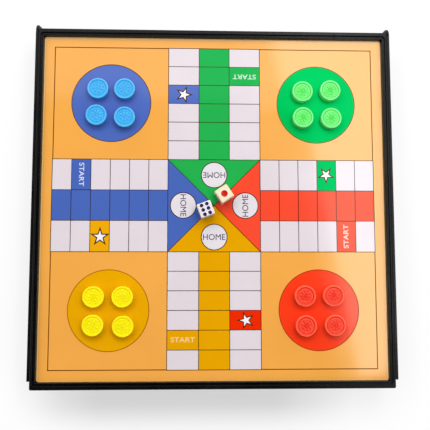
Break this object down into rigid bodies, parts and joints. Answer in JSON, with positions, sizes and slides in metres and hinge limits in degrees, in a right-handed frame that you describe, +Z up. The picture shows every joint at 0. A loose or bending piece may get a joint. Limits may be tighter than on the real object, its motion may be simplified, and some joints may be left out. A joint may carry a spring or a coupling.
{
  "type": "folding ludo board box",
  "caption": "Flat square game case: a hinged lid carries a ludo board with magnetic counters and dice, over a shallow storage tray.",
  "frame": {"origin": "centre of the closed case's plan outline, on the surface that its feet stand on", "axes": "+Z up, +Y from the opening edge of the lid towards its hinge, +X to the right seen from the opening edge"},
  "size_m": [0.25, 0.253, 0.0345],
  "materials": {
    "black_plastic": "moulded black, semi-gloss",
    "steel": "tinned sheet",
    "board_print": "glossy four-colour print under clear film",
    "counter_blue": "moulded, glossy",
    "counter_green": "moulded, translucent",
    "counter_yellow": "moulded, translucent",
    "counter_red": "moulded, translucent",
    "magnet": "flexible magnet sheet",
    "die_white": "polished, dark blue pips",
    "die_cream": "polished, red pips"
  },
  "bodies": {
    "tray": {"tray": "black_plastic"},
    "lid": {"lid": "black_plastic", "steel_plate": "steel", "printed_sheet": "board_print"},
    "counter_blue_1": {"counter_blue_1": "counter_blue", "magnet_blue_1": "magnet"},
    "counter_blue_2": {"counter_blue_2": "counter_blue", "magnet_blue_2": "magnet"},
    "counter_blue_3": {"counter_blue_3": "counter_blue", "magnet_blue_3": "magnet"},
    "counter_blue_4": {"counter_blue_4": "counter_blue", "magnet_blue_4": "magnet"},
    "counter_green_1": {"counter_green_1": "counter_green", "magnet_green_1": "magnet"},
    "counter_green_2": {"counter_green_2": "counter_green", "magnet_green_2": "magnet"},
    "counter_green_3": {"counter_green_3": "counter_green", "magnet_green_3": "magnet"},
    "counter_green_4": {"counter_green_4": "counter_green", "magnet_green_4": "magnet"},
    "counter_yellow_1": {"counter_yellow_1": "counter_yellow", "magnet_yellow_1": "magnet"},
    "counter_yellow_2": {"counter_yellow_2": "counter_yellow", "magnet_yellow_2": "magnet"},
    "counter_yellow_3": {"counter_yellow_3": "counter_yellow", "magnet_yellow_3": "magnet"},
    "counter_yellow_4": {"counter_yellow_4": "counter_yellow", "magnet_yellow_4": "magnet"},
    "counter_red_1": {"counter_red_1": "counter_red", "magnet_red_1": "magnet"},
    "counter_red_2": {"counter_red_2": "counter_red", "magnet_red_2": "magnet"},
    "counter_red_3": {"counter_red_3": "counter_red", "magnet_red_3": "magnet"},
    "counter_red_4": {"counter_red_4": "counter_red", "magnet_red_4": "magnet"},
    "die_white": {"die_white": "die_white"},
    "die_cream": {"die_cream": "die_cream"}
  },
  "joints": [
    {"name": "lid_hinge", "type": "hinge", "parent": "tray", "child": "lid", "pos_m": [0, 0.1197, 0.0204], "axis": [-1, 0, 0], "range_deg": [0, 105]},
    {"name": "lift_counter_blue_1", "type": "slide", "parent": "lid", "child": "counter_blue_1", "axis": [0, 0, 1], "range_m": [0, 0.03]},
    {"name": "lift_counter_blue_2", "type": "slide", "parent": "lid", "child": "counter_blue_2", "axis": [0, 0, 1], "range_m": [0, 0.03]},
    {"name": "lift_counter_blue_3", "type": "slide", "parent": "lid", "child": "counter_blue_3", "axis": [0, 0, 1], "range_m": [0, 0.03]},
    {"name": "lift_counter_blue_4", "type": "slide", "parent": "lid", "child": "counter_blue_4", "axis": [0, 0, 1], "range_m": [0, 0.03]},
    {"name": "lift_counter_green_1", "type": "slide", "parent": "lid", "child": "counter_green_1", "axis": [0, 0, 1], "range_m": [0, 0.03]},
    {"name": "lift_counter_green_2", "type": "slide", "parent": "lid", "child": "counter_green_2", "axis": [0, 0, 1], "range_m": [0, 0.03]},
    {"name": "lift_counter_green_3", "type": "slide", "parent": "lid", "child": "counter_green_3", "axis": [0, 0, 1], "range_m": [0, 0.03]},
    {"name": "lift_counter_green_4", "type": "slide", "parent": "lid", "child": "counter_green_4", "axis": [0, 0, 1], "range_m": [0, 0.03]},
    {"name": "lift_counter_yellow_1", "type": "slide", "parent": "lid", "child": "counter_yellow_1", "axis": [0, 0, 1], "range_m": [0, 0.03]},
    {"name": "lift_counter_yellow_2", "type": "slide", "parent": "lid", "child": "counter_yellow_2", "axis": [0, 0, 1], "range_m": [0, 0.03]},
    {"name": "lift_counter_yellow_3", "type": "slide", "parent": "lid", "child": "counter_yellow_3", "axis": [0, 0, 1], "range_m": [0, 0.03]},
    {"name": "lift_counter_yellow_4", "type": "slide", "parent": "lid", "child": "counter_yellow_4", "axis": [0, 0, 1], "range_m": [0, 0.03]},
    {"name": "lift_counter_red_1", "type": "slide", "parent": "lid", "child": "counter_red_1", "axis": [0, 0, 1], "range_m": [0, 0.03]},
    {"name": "lift_counter_red_2", "type": "slide", "parent": "lid", "child": "counter_red_2", "axis": [0, 0, 1], "range_m": [0, 0.03]},
    {"name": "lift_counter_red_3", "type": "slide", "parent": "lid", "child": "counter_red_3", "axis": [0, 0, 1], "range_m": [0, 0.03]},
    {"name": "lift_counter_red_4", "type": "slide", "parent": "lid", "child": "counter_red_4", "axis": [0, 0, 1], "range_m": [0, 0.03]},
    {"name": "lift_die_white", "type": "slide", "parent": "lid", "child": "die_white", "axis": [0, 0, 1], "range_m": [0, 0.03]},
    {"name": "lift_die_cream", "type": "slide", "parent": "lid", "child": "die_cream", "axis": [0, 0, 1], "range_m": [0, 0.03]}
  ]
}
